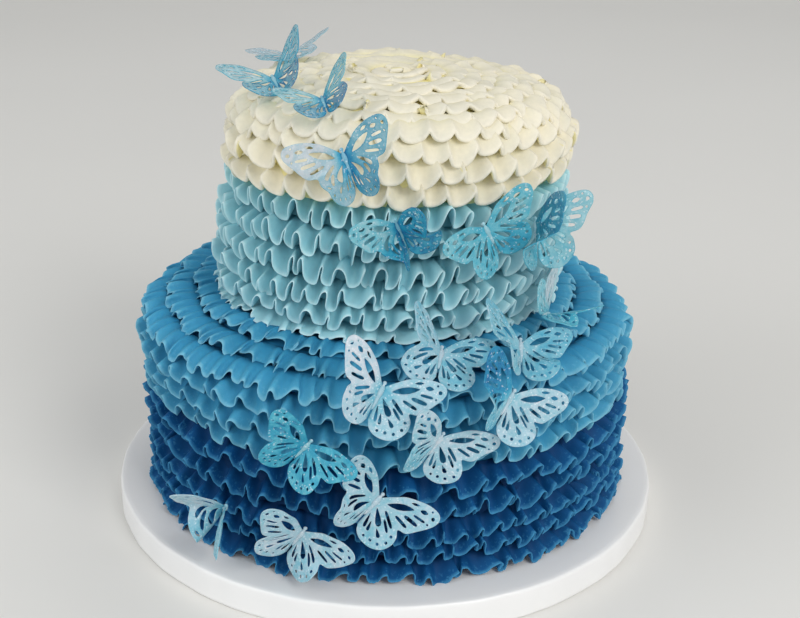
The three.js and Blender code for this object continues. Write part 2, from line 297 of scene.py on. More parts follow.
class Nodes:
    def __init__(self, name):
        self.mat = bpy.data.materials.new(name)
        self.mat.use_nodes = True
        self.tree = self.mat.node_tree
        self.tree.nodes.clear()
        self.out = self.tree.nodes.new("ShaderNodeOutputMaterial")
        self.shader = self.tree.nodes.new("ShaderNodeBsdfPrincipled")
        self.tree.links.new(self.shader.outputs[0], self.out.inputs[0])

    def new(self, kind, **props):
        n = self.tree.nodes.new(kind)
        for k, v in props.items():
            setattr(n, k, v)
        return n

    def link(self, a, b):
        self.tree.links.new(a, b)

    def attr(self, name):
        return self.new("ShaderNodeAttribute", attribute_name=name).outputs["Fac"]

    def coords(self):
        if not hasattr(self, "_co"):
            self._co = self.new("ShaderNodeTexCoord").outputs["Object"]
        return self._co

    def noise(self, scale, detail=3.0, rough=0.55, vector=None, distortion=0.0):
        n = self.new("ShaderNodeTexNoise")
        n.inputs["Scale"].default_value = scale
        n.inputs["Detail"].default_value = detail
        n.inputs["Roughness"].default_value = rough
        n.inputs["Distortion"].default_value = distortion
        self.link(vector or self.coords(), n.inputs["Vector"])
        return n.outputs["Fac"]

    def ramp(self, fac, stops):
        n = self.new("ShaderNodeValToRGB")
        el = n.color_ramp.elements
        while len(el) < len(stops):
            el.new(0.5)
        for e, (pos, col) in zip(el, stops):
            e.position = pos
            e.color = col if len(col) == 4 else (*col, 1.0)
        self.link(fac, n.inputs["Fac"])
        return n.outputs["Color"]

    def mix(self, fac, a, b, blend="MIX"):
        n = self.new("ShaderNodeMix", data_type="RGBA", blend_type=blend)
        for value, socket in ((fac, n.inputs[0]), (a, n.inputs[6]), (b, n.inputs[7])):
            if isinstance(value, bpy.types.NodeSocket):
                self.link(value, socket)
            elif isinstance(value, (int, float)):
                socket.default_value = value
            else:
                socket.default_value = value
        return n.outputs[2]

    def math(self, op, a, b=0.0, c=None, clamp=False):
        n = self.new("ShaderNodeMath", operation=op, use_clamp=clamp)
        for k, value in enumerate((a, b) if c is None else (a, b, c)):
            if isinstance(value, bpy.types.NodeSocket):
                self.link(value, n.inputs[k])
            else:
                n.inputs[k].default_value = value
        return n.outputs[0]

    def range(self, fac, lo, hi, to_lo, to_hi):
        n = self.new("ShaderNodeMapRange")
        self.link(fac, n.inputs[0])
        for k, v in enumerate((lo, hi, to_lo, to_hi)):
            n.inputs[k + 1].default_value = v
        return n.outputs[0]

    def bump(self, height, strength, distance, normal=None):
        n = self.new("ShaderNodeBump")
        n.inputs["Strength"].default_value = strength
        n.inputs["Distance"].default_value = distance
        self.link(height, n.inputs["Height"])
        if normal is not None:
            self.link(normal, n.inputs["Normal"])
        return n.outputs["Normal"]

    def set(self, name, value):
        s = self.shader.inputs[name]
        if isinstance(value, bpy.types.NodeSocket):
            self.link(value, s)
        else:
            s.default_value = value


def icing(name, deep, body, light, rim, scatter, radius_mm, gloss=0.5, rough=(0.42, 0.58), dry=0.0, hollow_shade=None):
    """Buttercream, lightly streaked by the mixing. Its colour runs from deep at the root of each sheet, where the
    icing is thick, to pale at the thin edge. This is partly the icing's own colour and partly painted: painted shade
    in the crevices at the roots, painted light glowing through and catching the thin edges.
    """
    m = Nodes(name)
    edge = m.attr("edge")
    # painted shade and light: the root stop also stands for the shade between the rows, and the pale edge stops for
    # light through and on the thin edges
    col = m.ramp(edge, [(0.0, deep), (0.45, body), (0.86, light), (0.985, rim)])
    # painted shade: undersides are tinted towards the hollow-shade colour
    if hollow_shade:
        col = m.mix(m.math("MULTIPLY", m.attr("under"), 0.7), col, hollow_shade)
    cloud = m.noise(38.0, 4.0, 0.6, distortion=0.6)
    shade = m.ramp(cloud, [(0.3, (0.90, 0.92, 0.94)), (0.7, (1.07, 1.06, 1.05))])
    col = m.mix(1.0, col, shade, "MULTIPLY")
    grain = m.noise(420.0, 2.0, 0.5)
    fleck = m.ramp(grain, [(0.25, (0.955, 0.96, 0.965)), (0.75, (1.03, 1.03, 1.03))])
    col = m.mix(1.0, col, fleck, "MULTIPLY")
    if dry:
        # dry crumbs and torn bits along the edge
        crumb = m.noise(620.0, 2.0, 0.6)
        crumb = m.range(crumb, 0.56, 0.68, 0.0, 1.0)
        near = m.range(edge, 0.55, 1.0, 0.0, dry)
        col = m.mix(m.math("MULTIPLY", crumb, near, clamp=True), col, rim)
    m.set("Base Color", col)
    m.set("Roughness", m.range(cloud, 0.3, 0.7, rough[0], rough[1]))
    m.set("Specular IOR Level", gloss)
    m.set("Subsurface Weight", scatter)
    m.set("Subsurface Radius", tuple(v * MM for v in radius_mm))
    m.set("Subsurface Scale", 1.0)
    bubbles = m.noise(900.0, 2.0, 0.5)
    drag = m.noise(240.0, 3.0, 0.6)
    n1 = m.bump(drag, 0.25, 0.0006)
    m.set("Normal", m.bump(bubbles, 0.12, 0.0003, n1))
    return m.mat


def c(*rgb):
    return srgb(*rgb)


# each icing's four colours run root, body, pale, edge; the root colour is partly painted crevice shade, and the last
# two are partly painted light at the thin edges
deep_icing = icing(
    "icing_deep_blue", c(0, 54, 102), c(1, 68, 121), c(5, 84, 139), c(62, 138, 182), 0.05, (0.5, 1.2, 2.2), 0.2,
    (0.6, 0.75), 0.9
)
mid_icing = icing(
    "icing_mid_blue", c(38, 125, 167), c(58, 147, 186), c(76, 161, 196), c(120, 187, 213), 0.12, (0.7, 1.8, 3.0), 0.2,
    (0.6, 0.75), 0.5
)
teal_icing = icing(
    "icing_teal", c(108, 172, 187), c(140, 198, 209), c(162, 213, 223), c(196, 234, 240), 0.14, (1.2, 2.4, 3.0), 0.2,
    (0.58, 0.72)
)
# the cream's yellow root colour and its hollow-shade colour are painted shade: a warm shadow tint for the crevices and
# undersides
cream_icing = icing(
    "icing_cream", c(237, 228, 178), c(236, 229, 203), c(236, 230, 209), c(238, 232, 213), 0.0, (1.0, 1.0, 1.0), 0.2,
    (0.5, 0.65), hollow_shade=c(243, 231, 158)
)


# ---------------------------------------------------------------- the four colours of piping

LOWER_CORE, UPPER_CORE = 114.0, 76.0
# how far the tiers lean to the side: the lower one a little left, the upper one right with its height
LOWER_LEAN = ((60.0, 110.0), (-1.0, -1.6))
UPPER_LEAN = ((116.0, 150.0, 185.0, 225.0), (-1.2, 1.8, 3.4, 3.8))
SEG = 180


def deep_band():
    pile = Pile()
    rng = np.random.default_rng(11)
    turned(
        pile,
        [(0, 15.35), (LOWER_CORE - 1, 15.35), (LOWER_CORE, 16.5), (LOWER_CORE, 69.6), (0, 69.6)],
        SEG,
    )
    # root, height of the hanging edge, lobes, length of the sheet, how much lower on the right
    rows = [
        (114.0, 15.7, 70, 13.4, 0.0),
        (114.0, 25.0, 84, 13.0, 0.6),
        (113.2, 33.6, 82, 13.2, 1.0),
        (111.8, 45.6, 74, 15.4, 2.6),
        (113.0, 58.6, 66, 15.2, 4.6),
    ]
    for k, (r, hang, lobes, reach, slope) in enumerate(rows):
        frill(
            pile,
            rng,
            r,
            hang,
            lobes,
            (-70, -50, reach) if k else (-58, -30, reach),
            (-20, -26, reach - 2.4),
            cols=18,
            drift=0.8 if k else 0.15,
            torn=0.16,
            slope=slope,
            thick=(1.3, 0.36),
        )
    return pile.build("lower_tier_deep_blue_piping", deep_icing, pressed)


def mid_band():
    pile = Pile()
    rng = np.random.default_rng(23)
    turned(
        pile,
        [
            (0, 70.0),
            (LOWER_CORE, 70.0),
            (LOWER_CORE, 99.0),
            (LOWER_CORE - 2.5, 104.6),
            (LOWER_CORE - 8, 109.0),
            (95, 113.0),
            (82, 114.8),
            (0, 114.8),
        ],
        SEG,
    )
    rows = [
        (112.6, 70.2, 72, 13.4, 3.4, 0.9),
        (113.6, 81.0, 73, 13.6, 3.0, 0.9),
        (113.8, 91.0, 74, 13.6, 1.4, 0.8),
    ]
    for r, hang, lobes, reach, slope, drift in rows:
        frill(
            pile,
            rng,
            r,
            hang,
            lobes,
            (-70, -50, reach),
            (-18, -26, reach - 2.2),
            cols=17,
            drift=drift,
            slope=slope,
            torn=0.07,
            thick=(1.3, 0.36),
            crowd=(0.24, -25),
        )
    # round the rim and over the top
    rows = [
        (108.2, 102.8, 96, (-8, -54, 15.4), (12, -40, 14.2), 0.24),
        (95.0, 110.6, 94, (-4, -24, 15.0), (22, -22, 14.2), 0.30),
        (81.4, 114.2, 82, (-2, -20, 14.6), (23, -20, 13.6), 0.32),
    ]
    for r, hang, lobes, low, high, skew in rows:
        frill(
            pile,
            rng,
            r,
            hang,
            lobes,
            low,
            high,
            cols=14,
            skew=skew,
            drift=0.5,
            torn=0.05,
            lean=1.3,
            thick=(1.3, 0.36),
            crowd=(0.16, -20),
        )
    pile.shift(*LOWER_LEAN)
    return pile.build("lower_tier_mid_blue_piping", mid_icing, pressed)


def teal_band():
    pile = Pile()
    rng = np.random.default_rng(37)
    turned(
        pile,
        [(0, 112.9), (UPPER_CORE, 112.9), (UPPER_CORE, 140.0), (UPPER_CORE - 3, 178.4), (0, 178.4)],
        SEG,
    )
    rows = [
        (75.0, 117.6, 56, (-34, -24, 12.8), (-6, -28, 11.8), 0.4),
        (75.8, 123.0, 57, (-64, -42, 12.8), (0, -24, 11.4), 0.6),
        (75.8, 132.0, 57, (-68, -48, 14.0), (-2, -18, 11.6), 0.8),
        (75.2, 143.0, 56, (-69, -50, 15.0), (-2, -18, 12.0), 0.9),
        (73.6, 155.0, 55, (-70, -50, 15.2), (-2, -18, 12.2), 0.9),
        (71.8, 167.2, 53, (-70, -50, 15.2), (-4, -20, 12.0), 0.8),
    ]
    for r, hang, lobes, low, high, drift in rows:
        frill(
            pile,
            rng,
            r,
            hang,
            lobes,
            low,
            high,
            cols=20,
            waist=0.065,
            wide=0.05,
            skew=0.2,
            uneven=0.13,
            swing=0.16,
            drift=drift,
            slope=-0.8,
            thick=(1.6, 0.45),
            lean=1.1,
        )
    pile.shift(*UPPER_LEAN)
    return pile.build("upper_tier_teal_piping", teal_icing, pressed)


def cream_band():
    pile = Pile()
    rng = np.random.default_rng(53)
    turned(
        pile,
        [
            (0, 178.6),
            (UPPER_CORE, 178.6),
            (UPPER_CORE, 202.0),
            (UPPER_CORE - 4, 208.5),
            (UPPER_CORE - 11, 214.0),
            (58, 218.2),
            (45, 220.2),
            (30, 221.4),
            (0, 222.0),
        ],
        SEG,
    )
    rows = [
        (74.0, 180.0, 40, (-66, -54, 14.0), (0, -30, 11.0), 0.8, -1.2),
        (74.8, 191.0, 40, (-66, -54, 14.4), (-8, -32, 10.6), 0.8, -0.6),
        (72.2, 201.0, 40, (-46, -60, 14.8), (-10, -44, 11.4), 0.8, 0.0),
        (66.6, 208.2, 39, (0, -60, 15.0), (20, -36, 12.0), 0.7, 0.0),
    ]
    for k, (r, hang, lobes, low, high, drift, slope) in enumerate(rows):
        frill(
            pile,
            rng,
            r,
            hang,
            lobes,
            low,
            high,
            cols=20,
            cusp=0.45,
            waist=0.02,
            wide=0.06,
            skew=0.06,
            uneven=0.06,
            crowd=(0.06, -45),
            swing=0.12,
            drift=drift,
            slope=slope,
            lean=0.6,
            phase=0.5 * (k % 2),
            thick=(2.7, 1.9),
            round_tip=3,
        )
    # soft overlapping strokes over the top, each rising out of the one outside it and curling over
    dome_r = [0, 30, 45, 58, 68, 75, 80, 84]
    dome_z = [223.4, 222.8, 221.6, 219.6, 217.0, 214.0, 210.5, 206.0]
    rows = [
        (60.5, 36, (24, -44, 14.0), (42, -20, 9.4)),
        (52.5, 32, (28, -36, 13.6), (45, -15, 9.2)),
        (44.5, 28, (31, -32, 13.4), (47, -13, 9.0)),
        (36.5, 23, (33, -28, 13.2), (49, -11, 9.0)),
        (28.0, 18, (35, -26, 13.0), (50, -9, 8.8)),
        (19.5, 13, (36, -24, 12.8), (50, -8, 8.6)),
        (11.0, 9, (37, -22, 12.6), (50, -6, 8.6)),
        (3.5, 5, (38, -20, 10.6), (50, -6, 7.8)),
    ]
    for r, lobes, low, high in rows:
        root = float(np.interp(r, dome_r, dome_z)) - 2.4
        rise = float(arc(np.radians(low[0]), np.radians(low[1]), 1.0)[1]) * low[2]
        frill(
            pile,
            rng,
            r,
            root + rise,
            lobes,
            low,
            high,
            cols=20,
            cusp=0.55,
            waist=0.02,
            wide=0.05,
            skew=0.08,
            uneven=0.15,
            crowd=(0.0, 0),
            swing=0.24,
            drift=0.6 if r > 8 else 0.2,
            sway=2.4 if r > 8 else 0.3,
            lean=1.4,
            thick=(2.9, 2.3),
            round_tip=3,
        )
    # the last stroke closes the middle
    turned(
        pile,
        [(0, 220.0), (4.5, 220.6), (5.4, 222.4), (4.4, 224.0), (2.2, 224.9), (0, 225.2)],
        48,
        mark=0.6,
    )
    pile.shift(*UPPER_LEAN)
    return pile.build("upper_tier_cream_piping", cream_icing, pressed)


# ---------------------------------------------------------------- wafer butterflies

# one half of the cutter's shape, millimetres, x away from the body, y towards the head
OUTLINE = [
    (0.7, 1.2), (4.6, 5.2), (8.9, 8.9), (15.6, 12.1), (21.5, 13.0), (24.3, 11.4), (24.6, 8.1), (22.1, 3.1),
    (18.5, -2.7), (14.6, -4.3), (16.4, -7.1), (17.0, -10.9), (15.0, -15.2), (10.9, -18.1), (5.8, -18.4),
    (2.3, -16.6), (0.5, -13.6),
]
WAFER = 0.42


def spline(points, steps):
    """Catmull-Rom through an open row of points."""
    p = np.asarray(points, float)
    p = np.concatenate([[2 * p[0] - p[1]], p, [2 * p[-1] - p[-2]]])
    out = []
    for k in range(1, len(p) - 2):
        for t in np.arange(steps) / steps:
            out.append(
                0.5
                * (
                    2 * p[k]
                    + (p[k + 1] - p[k - 1]) * t
                    + (2 * p[k - 1] - 5 * p[k] + 4 * p[k + 1] - p[k + 2]) * t**2
                    + (3 * p[k] - p[k - 1] - 3 * p[k + 1] + p[k + 2]) * t**3
                )
            )
    out.append(p[-2])
    return np.array(out)


def blade(p, q, half, kind="slot", steps=7):
    """A long cut-out from p to q: an even slot, a lens, or a drop that widens towards q."""
    p, q = np.asarray(p, float), np.asarray(q, float)
    axis = q - p
    side = np.array([-axis[1], axis[0]]) / np.linalg.norm(axis)
    t = 0.5 - 0.5 * np.cos(np.pi * np.arange(steps + 1) / steps)
    if kind == "lens":
        w = np.sin(np.pi * t) ** 0.8
    elif kind == "drop":
        w = 1.25 * t**0.8 * np.clip(1 - t**7, 0, 1) ** 0.5
    else:
        w = np.clip(1 - np.abs(2 * t - 1) ** 5, 0, 1) ** 0.5
    upper = p + axis * t[:, None] + side * (half * w)[:, None]
    lower = p + axis * t[:, None] - side * (half * w)[:, None]
    return np.concatenate([upper, lower[-2:0:-1]])


def spot(x, y, a, b=None, turn=0.0, steps=9):
    b = a if b is None else b
    th = TAU * np.arange(steps) / steps
    c_, s_ = math.cos(turn), math.sin(turn)
    px, py = a * np.cos(th), b * np.sin(th)
    return np.stack([x + px * c_ - py * s_, y + px * s_ + py * c_], -1)


CUTS = [
    blade((4.2, 0.6), (14.2, 6.9), 1.45, "lens"),
    blade((9.8, -0.5), (16.6, -1.2), 0.72),
    blade((12.6, 2.0), (19.4, 2.5), 0.85),
    blade((15.2, 4.9), (20.6, 6.0), 0.62),
    blade((15.9, 8.4), (19.3, 9.6), 0.95, "lens"),
    blade((11.2, 8.1), (14.6, 9.9), 0.6, "lens"),
    spot(22.3, 9.4, 0.85),
    spot(21.9, 6.0, 0.5),
    spot(20.2, 11.5, 0.5),
    blade((5.6, -1.9), (12.4, -5.9), 0.72),
    blade((2.0, -3.2), (7.8, -8.9), 1.45, "drop"),
    blade((7.6, -5.0), (12.3, -8.4), 0.6),
    blade((1.5, -6.6), (3.3, -13.4), 0.75, "drop"),
    blade((4.0, -9.0), (5.4, -13.6), 0.75, "drop"),
    blade((7.6, -9.9), (10.9, -12.4), 0.95, "drop"),
    spot(14.6, -8.3, 0.68),
    spot(14.7, -11.6, 0.7),
    spot(12.3, -14.6, 0.72),
    spot(9.0, -15.6, 0.72),
    spot(5.7, -16.1, 0.6),
]


def inside(points, loop):
    x, y = points[:, 0][:, None], points[:, 1][:, None]
    a, b = loop, np.roll(loop, -1, 0)
    hit = (a[None, :, 1] > y) != (b[None, :, 1] > y)
    dy = np.where(b[:, 1] == a[:, 1], 1e-9, b[:, 1] - a[:, 1])
    cross = a[:, 0] + (y - a[:, 1]) * (b[:, 0] - a[:, 0]) / dy
    return (hit & (x < cross)).sum(1) % 2 == 1


def away(points, loop):
    a, b = loop, np.roll(loop, -1, 0)
    d = b - a
    t = ((points[:, None] - a) * d).sum(-1) / ((d**2).sum(-1) + 1e-9)
    near = a + d * np.clip(t, 0, 1)[..., None]
    return np.sqrt(((points[:, None] - near) ** 2).sum(-1)).min(1)


def half_wing():
    """The flat half wing as triangles: points, triangles, edge loops, distance to the nearest edge."""
    rng = np.random.default_rng(71)
    outer = spline(OUTLINE, 7)
    loops = [outer] + CUTS
    seeds = []
    for k, loop in enumerate(loops):
        nxt, prv = np.roll(loop, -1, 0), np.roll(loop, 1, 0)
        d = nxt - prv
        n = np.stack([-d[:, 1], d[:, 0]], -1) / (np.linalg.norm(d, axis=1, keepdims=True) + 1e-9)
        for sgn in (1, -1):
            seeds.append(loop + sgn * n * 0.34)
    gx, gy = np.meshgrid(np.arange(0, 26, 1.1), np.arange(-20, 15, 0.95))
    gx = gx + 0.55 * (np.arange(gy.shape[0]) % 2)[:, None]
    grid = np.stack([gx.ravel(), gy.ravel()], -1) + rng.uniform(-0.12, 0.12, (gx.size, 2))
    ring = np.concatenate(seeds)

    def keep(pts, gap):
        ok = inside(pts, outer)
        for cut in CUTS:
            ok &= ~inside(pts, cut)
        dist = np.min([away(pts, loop) for loop in loops], 0)
        return ok & (dist > gap), dist

    ok, _ = keep(ring, 0.3)
    ring = ring[ok]
    ok, _ = keep(grid, 0.62)
    grid = grid[ok]
    pts, edges, first = [], [], 0
    for loop in loops:
        n = len(loop)
        pts.append(loop)
        edges += [(first + i, first + (i + 1) % n) for i in range(n)]
        first += n
    fixed = first
    pts = np.concatenate(pts + [ring, grid])
    verts, _, faces, orig, _, _ = delaunay_2d_cdt([Vector(p) for p in pts], edges, [], 2, 1e-6)
    verts = np.array([(v.x, v.y) for v in verts])
    tris = np.array([f for f in faces if len(f) == 3])
    centre = verts[tris].mean(1)
    ok = inside(centre, outer)
    for cut in CUTS:
        ok &= ~inside(centre, cut)
    tris = tris[ok]
    a, b, c_ = verts[tris[:, 0]], verts[tris[:, 1]], verts[tris[:, 2]]
    area = (b[:, 0] - a[:, 0]) * (c_[:, 1] - a[:, 1]) - (b[:, 1] - a[:, 1]) * (c_[:, 0] - a[:, 0])
    tris = tris[np.abs(area) > 1e-7]
    area = area[np.abs(area) > 1e-7]
    tris[area < 0] = tris[area < 0][:, ::-1]
    used = np.unique(tris)
    index = -np.ones(len(verts), int)
    index[used] = np.arange(len(used))
    verts, tris = verts[used], index[tris]
    dist = np.min([away(verts, loop) for loop in loops], 0)
    count = {}
    for t in tris:
        for i in range(3):
            e = (t[i], t[(i + 1) % 3])
            count[e] = count.get(e, 0) + 1
    border = np.array([e for e in count if (e[1], e[0]) not in count])
    return verts, tris, border, dist


HALF = half_wing()

# place (mm), turn about x, y, z (degrees), wing angles: left and right fore, left and right hind; scale
POSES = [
    ((-54.2, -28.4, 223.5), (15.9, -20.5, 13.8), (29, 31, 34, 38), 1.01, "blue"),
    ((-53.3, 42.8, 220.2), (-0.1, -13.3, -0.2), (19, 19, 19, 6), 0.95, "pale"),
    ((-29.8, -59.0, 221.6), (16.8, -22.3, 8.4), (26, 35, 26, 35), 0.85, "blue"),
    ((-19.2, -87.2, 204.5), (86.5, -21.1, 2.9), (29, 23, 57, 48), 1.03, "pale"),
    ((3.9, -91.0, 175.7), (101.6, -20.4, -2.4), (41, 47, 84, -2), 0.97, "bright"),
    ((42.5, -79.5, 171.0), (94.5, -31.8, 27.0), (23, 23, 30, 18), 1.05, "blue"),
    ((65.8, -62.9, 167.5), (74.5, 11.4, 51.8), (63, 50, 15, 35), 1.09, "blue"),
    ((24.1, -103.6, 122.2), (35.7, 25.3, 7.7), (29, 16, -9, 17), 0.97, "pale"),
    ((59.5, -91.8, 121.3), (37.2, 20.4, 13.8), (18, 8, 42, 31), 1.01, "pale"),
    ((74.4, -60.2, 123.2), (-18.5, 25.3, -29.7), (55, 38, 55, 19), 0.99, "blue"),
    ((-1.1, -123.8, 113.7), (57.8, 29.8, -0.0), (23, 9, 34, 15), 1.04, "pale"),
    ((54.6, -114.3, 107.0), (71.9, 38.5, 16.4), (15, 11, 41, 26), 1.03, "pale"),
    ((24.2, -122.3, 90.0), (100.4, 30.6, 28.5), (23, 15, 25, 26), 1.0, "pale"),
    ((-32.6, -123.3, 86.2), (95.3, 38.5, -8.4), (30, 27, 34, 34), 1.02, "blue"),
    ((-1.7, -127.1, 62.4), (83.4, 40.2, -0.4), (15, 15, 37, 18), 1.05, "pale"),
    ((-35.3, -122.2, 41.7), (100.2, 31.2, -3.9), (35, 27, 29, 38), 1.06, "pale"),
    ((-70.6, -111.5, 47.3), (113.7, 42.6, -36.5), (48, 52, 109, 37), 1.06, "pale"),
]
# how strongly each wing is brushed with blue: left fore, right fore, left hind, right hind, round the body, rim
PAINT = [
    (0.30, 0.52, 0.62, 0.78, 0.80, 0.25),
    (0.16, 0.20, 0.46, 0.26, 0.35, 0.05),
    (0.34, 0.46, 0.78, 0.84, 0.95, 0.10),
    (0.12, 0.55, 0.34, 0.62, 1.00, 0.12),
    (0.38, 0.78, 0.80, 0.80, 0.92, 0.15),
    (0.50, 0.50, 0.55, 0.66, 0.60, 0.02),
    (0.82, 0.42, 0.56, 0.46, 0.60, 0.05),
    (0.34, 0.42, 0.32, 0.40, 0.36, -0.06),
    (0.44, 0.50, 0.38, 0.48, 0.42, -0.06),
    (0.18, 0.66, 0.44, 0.62, 0.60, -0.05),
    (0.08, 0.30, 0.20, 0.28, 0.56, -0.05),
    (0.92, 0.26, 0.50, 0.26, 0.36, -0.06),
    (0.26, 0.24, 0.42, 0.26, 0.28, -0.05),
    (0.68, 0.66, 0.66, 0.64, 0.76, 0.04),
    (0.30, 0.28, 0.26, 0.32, 0.32, -0.07),
    (0.26, 0.26, 0.22, 0.30, 0.28, -0.07),
    (0.24, 0.42, 0.38, 0.46, 0.62, -0.05),
]

# the glassy ones and how see-through they are
CLEAR = {1: 0.9, 2: 1.0, 3: 0.9, 4: 0.8, 5: 0.3, 6: 0.25, 7: 0.8}


def smooth(t):
    t = np.clip(t, 0, 1)
    return t * t * (3 - 2 * t)


def butterfly(number):
    place, turn, wings, scale, tone = POSES[number]
    paint = PAINT[number]
    rng = np.random.default_rng(300 + number)
    rot = turn_of(number)
    pile = Pile()
    flat, tris, border, dist = HALF
    for half, side in ((0, -1), (1, 1)):
        x, y = flat[:, 0], flat[:, 1]
        wave = 0.22 * np.sin(0.33 * x + 0.5 * y + rng.uniform(0, TAU)) * smooth(x / 9)
        a = wing_lift(number, half, x, y)
        p = np.stack([side * x * np.cos(a), y, x * np.sin(a) + wave], -1)
        # surface normals from the triangles
        fn = np.cross(p[tris[:, 1]] - p[tris[:, 0]], p[tris[:, 2]] - p[tris[:, 0]])
        n = np.zeros_like(p)
        for k in range(3):
            np.add.at(n, tris[:, k], fn)
        n /= np.linalg.norm(n, axis=1, keepdims=True) + 1e-9
        if n[:, 2].mean() < 0 and side == 1:
            n = -n
        if side == -1:
            n = -n if n[:, 2].mean() < 0 else n
        upper, lower = p + n * WAFER / 2, p - n * WAFER / 2
        count = len(p)
        tone_v = paint[half] + (paint[half + 2] - paint[half]) * smooth((y + 2.5) / -5)
        tone_v = tone_v + (paint[4] - tone_v) * np.exp(-((x / 4.2) ** 2) - ((y + 2) / 9.0) ** 2)
        tone_v = tone_v + paint[5] * (dist < 0.2)
        rim = (dist < 0.2).astype(float)
        faces_up = tris
        faces_dn = tris[:, ::-1] + count
        i, j = border[:, 0], border[:, 1]
        walls = np.stack([j, i, i + count, j + count], -1)
        wall_tris = np.concatenate([walls[:, [0, 1, 2]], walls[:, [0, 2, 3]]])
        faces = np.concatenate([faces_up, faces_dn, wall_tris])
        if side == -1:
            faces = faces[:, ::-1]
        pile.add(
            np.concatenate([upper, lower]),
            faces,
            paint=np.concatenate([tone_v, tone_v]),
            rim=np.concatenate([rim, rim]),
            body=0.0,
            clear=np.tile(CLEAR.get(number + 1, 0.0) * smooth((x - 1) / 6) * (1 - 0.5 * rim), 2),
        )
    # body: head, neck, thorax and tapering abdomen
    prof = np.array(
        [
            (3.45, 0.30), (3.15, 0.72), (2.7, 0.88), (2.2, 0.74), (1.85, 0.52), (1.5, 0.56), (1.0, 0.9), (0.1, 1.22),
            (-1.3, 1.34), (-2.6, 1.18), (-3.5, 0.88), (-4.2, 0.86), (-5.4, 0.92), (-6.8, 0.80), (-8.0, 0.58),
            (-8.9, 0.32), (-9.2, 0.1),
        ]
    )
    ring = 14
    th = TAU * np.arange(ring) / ring
    verts = [
        (r * math.cos(t), y, 0.15 + 0.82 * r * math.sin(t)) for y, r in prof for t in th
    ]
    verts += [(0, 3.5, 0.15), (0, -9.3, 0.15)]
    last = len(prof) - 1
    faces = []
    for k in range(last):
        for i in range(ring):
            a, b = k * ring + i, k * ring + (i + 1) % ring
            faces += [(a, b, b + ring), (a, b + ring, a + ring)]
    top, tail = len(prof) * ring, len(prof) * ring + 1
    for i in range(ring):
        faces.append((top, (i + 1) % ring, i))
        faces.append((tail, last * ring + i, last * ring + (i + 1) % ring))
    pile.add(verts, np.array(faces)[:, ::-1], paint=paint[4] * 0.6, rim=0.0, body=1.0, clear=0.0)
    for k, v in enumerate(pile.verts):
        pile.verts[k] = (v * scale) @ rot.T + np.array(place)
    return pile.build(f"butterfly_{number + 1:02d}_wafer", WAFERS[tone])


GREYED = ((208, 215, 223), (172, 202, 215), (128, 188, 205), (78, 168, 196), (34, 143, 181), (6, 106, 157))
CYAN = ((211, 219, 225), (176, 206, 215), (129, 195, 207), (76, 176, 199), (30, 149, 183), (2, 108, 158))


def wafer(name, gloss, thin, brushed):
    """Wafer brushed with colour, with fine white specks painted in as the glints of a sugar sparkle."""
    m = Nodes(name)
    cloud = m.noise(190.0, 3.0, 0.6, distortion=0.8)
    speck = m.noise(1100.0, 2.0, 0.5)
    paint = m.math("ADD", m.attr("paint"), m.range(cloud, 0.3, 0.7, -0.13, 0.13))
    paint = m.math("ADD", paint, m.range(speck, 0.3, 0.7, -0.05, 0.05))
    col = m.ramp(paint, [(0.2 * k, srgb(*brushed[k])) for k in range(6)])
    col = m.mix(m.math("MULTIPLY", m.attr("body"), 0.25), col, srgb(190, 204, 214))
    cells = m.new("ShaderNodeTexVoronoi")
    cells.inputs["Scale"].default_value = 1500.0
    m.link(m.coords(), cells.inputs["Vector"])
    split = m.new("ShaderNodeSeparateColor")
    m.link(cells.outputs["Color"], split.inputs[0])
    # painted glints: white specks mixed into the colour where the sparkle would catch the light
    glint_specks = m.math("GREATER_THAN", split.outputs[0], 0.93)
    col = m.mix(m.math("MULTIPLY", glint_specks, 0.4), col, srgb(236, 242, 246))
    m.set("Base Color", col)
    rough = m.range(split.outputs[1], 0.0, 1.0, 0.38, 0.6)
    m.set("Roughness", rough)
    m.set("Specular IOR Level", gloss)
    m.set("Subsurface Weight", thin)
    m.set("Subsurface Radius", (0.001, 0.001, 0.001))
    m.set("Subsurface Scale", 1.0)
    m.set("Normal", m.bump(speck, 0.25, 0.0003))
    m.set("Coat Weight", m.math("MULTIPLY", m.attr("clear"), 0.8))
    m.set("Coat Roughness", 0.14)
    m.set("Alpha", m.math("SUBTRACT", 1.0, m.math("MULTIPLY", m.attr("clear"), 0.42)))
    return m.mat


def wing_lift(number, half, x, y):
    """Angle of the wing above the body's plane at a point of the flat shape."""
    wings = POSES[number][2]
    fore, hind = math.radians(wings[half]), math.radians(wings[half + 2])
    curl = np.random.default_rng(700 + 2 * number + half).uniform(-0.10, 0.14, 2)
    back = smooth((y + 3) / -7)
    bend = (curl[0] * (1 - back) + curl[1] * back) * (x / 14.0 - 0.6) * smooth(x / 4)
    return fore + (hind - fore) * back + bend


def turn_of(number):
    rx, ry, rz = (math.radians(v) for v in POSES[number][1])
    return np.array(Matrix.Rotation(rz, 3, "Z") @ Matrix.Rotation(ry, 3, "Y") @ Matrix.Rotation(rx, 3, "X"))


